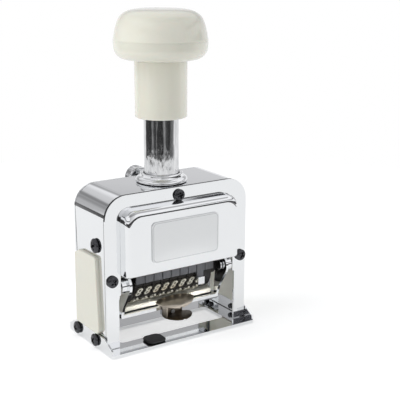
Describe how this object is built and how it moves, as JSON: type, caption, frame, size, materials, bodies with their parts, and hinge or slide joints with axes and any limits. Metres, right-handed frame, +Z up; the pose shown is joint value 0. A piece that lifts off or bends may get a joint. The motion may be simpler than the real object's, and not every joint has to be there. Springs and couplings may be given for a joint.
{
  "type": "hand numbering machine",
  "caption": "Self-inking hand numbering machine: a plunger with a domed knob drives rotating type wheels down through a chrome frame while the ink pad swings clear.",
  "frame": {"origin": "centre of the bounding box, on the surface that the base stands on", "axes": "+Z up along the plunger, -Y towards the front with the raised panel, +X to the right along the wheel shaft"},
  "size_m": [0.0776, 0.0446, 0.1431],
  "materials": {
    "chrome": "polished chrome plate",
    "satin_metal": "satin bright metal",
    "ivory_plastic": "smooth ivory plastic",
    "black_screw": "black oxide, semi-gloss",
    "black_steel": "blackened steel",
    "blued_comb": "grey-blue blackened spring steel",
    "type_wheel": "dark ink-stained metal with bright figures",
    "steel": "plain turned steel",
    "spring_steel": "drawn spring wire",
    "bronze": "dull bronze-coloured nickel sheet",
    "pad_felt": "beige felt, uninked",
    "black_rubber": "matt black",
    "label_face": "plain pale label face"
  },
  "bodies": {
    "frame": {"frame_strap": "chrome", "base_plate": "chrome", "front_cover": "chrome", "back_cover": "chrome", "label_plate": "label_face", "screw_front_top": "black_screw", "screw_front_left": "black_screw", "screw_front_right": "black_screw", "screw_back_left": "black_screw", "screw_back_right": "black_screw", "screw_side_left": "black_screw", "screw_side_right": "black_screw", "screw_cheek_left_front": "black_screw", "screw_cheek_left_back": "black_screw", "screw_cheek_right_front": "black_screw", "screw_cheek_right_back": "black_screw", "side_plate_left": "ivory_plastic", "side_plate_right": "ivory_plastic", "cross_plate": "steel", "top_collar": "chrome", "pad_stud_left": "satin_metal", "pad_stud_right": "satin_metal", "base_buffer": "black_rubber", "lock_bush": "satin_metal", "main_spring": "spring_steel"},
    "plunger": {"plunger_tube": "chrome", "tube_plug": "steel", "plunger_rod": "steel", "knob_sleeve": "ivory_plastic", "knob_cap": "ivory_plastic", "carriage_yoke": "black_steel", "rod_bumper": "black_rubber", "wheel_shaft": "steel", "shaft_nut_left": "black_steel", "shaft_nut_right": "black_steel", "detent_comb": "blued_comb", "stop_finger": "satin_metal"},
    "type_wheel_1_body": {"type_wheel_1": "type_wheel"},
    "type_wheel_2_body": {"type_wheel_2": "type_wheel"},
    "type_wheel_3_body": {"type_wheel_3": "type_wheel"},
    "type_wheel_4_body": {"type_wheel_4": "type_wheel"},
    "type_wheel_5_body": {"type_wheel_5": "type_wheel"},
    "type_wheel_6_body": {"type_wheel_6": "type_wheel"},
    "type_wheel_7_body": {"type_wheel_7": "type_wheel"},
    "type_wheel_8_body": {"type_wheel_8": "type_wheel"},
    "pawls": {"pawl_frame": "black_steel"},
    "pad": {"pad_frame": "chrome", "pad_tray": "black_rubber", "ink_pad": "pad_felt", "pad_clip": "bronze", "clip_rivet_low": "steel", "clip_rivet_high": "steel"},
    "lock": {"lock_pin": "steel", "lock_knob": "chrome"}
  },
  "joints": [
    {"name": "plunger_slide", "type": "slide", "parent": "frame", "child": "plunger", "axis": [0, 0, -1], "range_m": [0, 0.0155], "stiffness_N_per_m": 260, "springref_m": -0.018, "deforming": ["main_spring"]},
    {"name": "type_wheel_1_spin", "type": "hinge", "parent": "plunger", "child": "type_wheel_1_body", "pos_m": [-0.01788, -0.0029, 0.0255], "axis": [1, 0, 0], "continuous": true},
    {"name": "type_wheel_2_spin", "type": "hinge", "parent": "plunger", "child": "type_wheel_2_body", "pos_m": [-0.01341, -0.0029, 0.0255], "axis": [1, 0, 0], "continuous": true},
    {"name": "type_wheel_3_spin", "type": "hinge", "parent": "plunger", "child": "type_wheel_3_body", "pos_m": [-0.00894, -0.0029, 0.0255], "axis": [1, 0, 0], "continuous": true},
    {"name": "type_wheel_4_spin", "type": "hinge", "parent": "plunger", "child": "type_wheel_4_body", "pos_m": [-0.00447, -0.0029, 0.0255], "axis": [1, 0, 0], "continuous": true},
    {"name": "type_wheel_5_spin", "type": "hinge", "parent": "plunger", "child": "type_wheel_5_body", "pos_m": [0, -0.0029, 0.0255], "axis": [1, 0, 0], "continuous": true},
    {"name": "type_wheel_6_spin", "type": "hinge", "parent": "plunger", "child": "type_wheel_6_body", "pos_m": [0.00447, -0.0029, 0.0255], "axis": [1, 0, 0], "continuous": true},
    {"name": "type_wheel_7_spin", "type": "hinge", "parent": "plunger", "child": "type_wheel_7_body", "pos_m": [0.00894, -0.0029, 0.0255], "axis": [1, 0, 0], "continuous": true},
    {"name": "type_wheel_8_spin", "type": "hinge", "parent": "plunger", "child": "type_wheel_8_body", "pos_m": [0.01341, -0.0029, 0.0255], "axis": [1, 0, 0], "continuous": true},
    {"name": "pawl_swing", "type": "hinge", "parent": "plunger", "child": "pawls", "pos_m": [0.0179, -0.0029, 0.0255], "axis": [1, 0, 0], "range_deg": [0, 35]},
    {"name": "pad_swing", "type": "hinge", "parent": "frame", "child": "pad", "pos_m": [0, -0.0129, 0.0282], "axis": [-1, 0, 0], "range_deg": [0, 90]},
    {"name": "lock_push", "type": "slide", "parent": "frame", "child": "lock", "axis": [0, -1, 0], "range_m": [0, 0.002]}
  ],
  "couplings": [
    {"joint": "pad_swing", "follows": "plunger_slide", "rad_per_m": 100},
    {"joint": "pawl_swing", "follows": "plunger_slide", "rad_per_m": 38}
  ]
}
